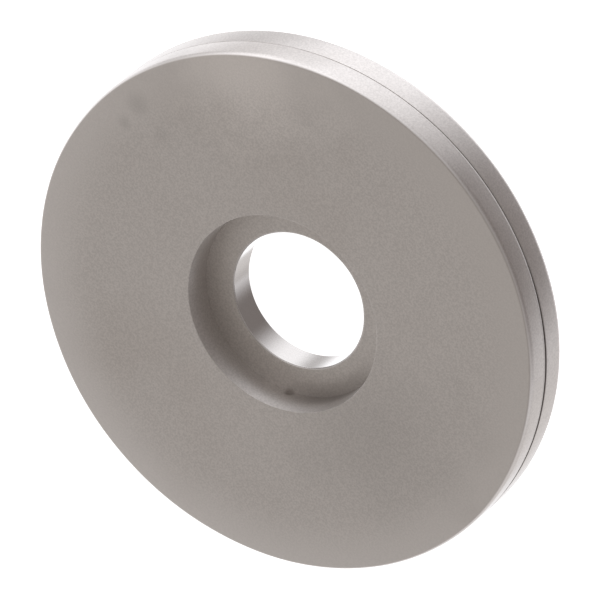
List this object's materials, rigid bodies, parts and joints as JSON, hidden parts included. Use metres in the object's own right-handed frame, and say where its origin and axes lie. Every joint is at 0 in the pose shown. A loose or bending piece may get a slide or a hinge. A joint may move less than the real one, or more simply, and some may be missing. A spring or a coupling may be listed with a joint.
{
  "type": "flat washer",
  "caption": "Thick flat steel washer with a central bore in a shallow round recess, built as a face ring on a backing washer that meet at a seam around the rim.",
  "frame": {"origin": "centre of the rear face, on the washer's axis, with the washer lying flat", "axes": "+Z along the washer's axis, out of the recessed side; X and Y lie in the rear face and are equivalent"},
  "size_m": [0.032, 0.032, 0.0037],
  "materials": {
    "backing_steel": "turned rim and smooth bore, satin where it forms the floor of the recess",
    "face_ring_steel": "fine satin, tumbled face with a turned rim and softly broken edges"
  },
  "bodies": {
    "root": {"backing_washer": "backing_steel", "face_ring": "face_ring_steel"}
  },
  "joints": []
}
